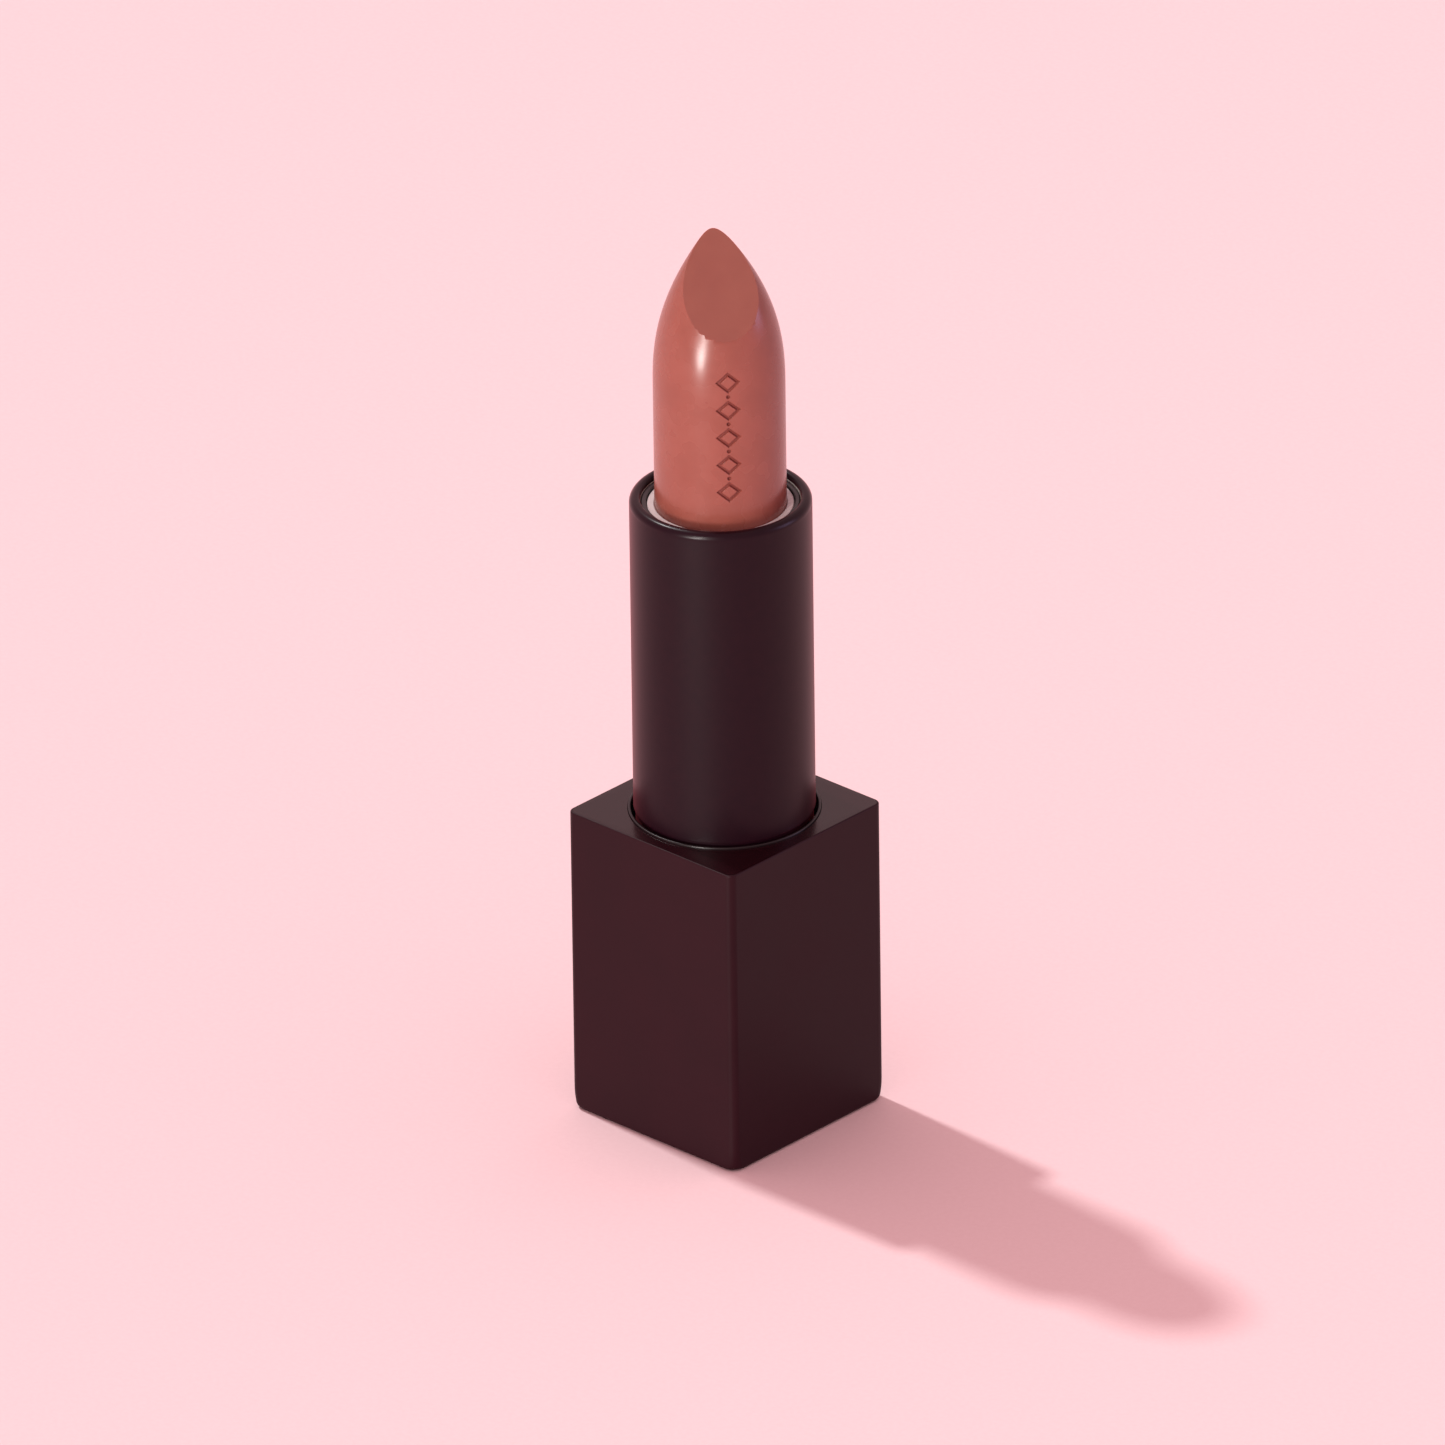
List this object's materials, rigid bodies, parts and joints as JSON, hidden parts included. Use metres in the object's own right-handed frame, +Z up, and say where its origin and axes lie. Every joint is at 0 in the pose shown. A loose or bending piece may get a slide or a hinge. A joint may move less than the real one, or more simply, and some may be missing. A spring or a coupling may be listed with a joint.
{
  "type": "lipstick case",
  "caption": "Swivel lipstick case: square soft-touch base, round satin barrel that turns, and a slant-cut bullet that rises and sinks on a helical cam.",
  "frame": {"origin": "centre of the underside of the square base", "axes": "+Z up along the barrel's axis, X and Y square to the sides of the base"},
  "size_m": [0.0206, 0.0206, 0.088],
  "materials": {
    "soft_touch": "dark plum-black soft-touch coating on ABS",
    "trim": "gloss black moulded ring",
    "core_plastic": "as-moulded black ABS",
    "weight_steel": "zinc-plated steel slug",
    "foam": "closed-cell foam pad",
    "plate_plastic": "fine-textured black ABS",
    "label_paper": "coated paper sticker, blank",
    "tube_plastic": "moulded black acetal, semi-gloss",
    "silicone": "translucent silicone",
    "barrel_lacquer": "satin black-plum lacquer",
    "cam_plastic": "natural acetal",
    "cup_plastic": "pale satin moulded plastic",
    "bullet_wax": "pressed cosmetic wax, soft sheen"
  },
  "bodies": {
    "base": {"base_shell": "soft_touch", "collar_ring": "trim", "base_insert": "core_plastic", "base_weight": "weight_steel", "weight_pad": "foam", "bottom_plate": "plate_plastic", "shade_label": "label_paper", "inner_body": "tube_plastic", "brake_ring": "silicone"},
    "barrel": {"barrel_shell": "barrel_lacquer", "cam_sleeve": "cam_plastic"},
    "carrier": {"carrier_cup": "cup_plastic", "bullet": "bullet_wax"}
  },
  "joints": [
    {"name": "barrel_turn", "type": "hinge", "parent": "base", "child": "barrel", "pos_m": [0, 0, 0], "axis": [0, 0, 1], "range_deg": [0, 630]},
    {"name": "cup_lift", "type": "slide", "parent": "base", "child": "carrier", "axis": [0, 0, 1], "range_m": [-0.028, 0]}
  ],
  "couplings": [
    {"joint": "cup_lift", "follows": "barrel_turn", "m_per_rad": -0.0025465}
  ]
}
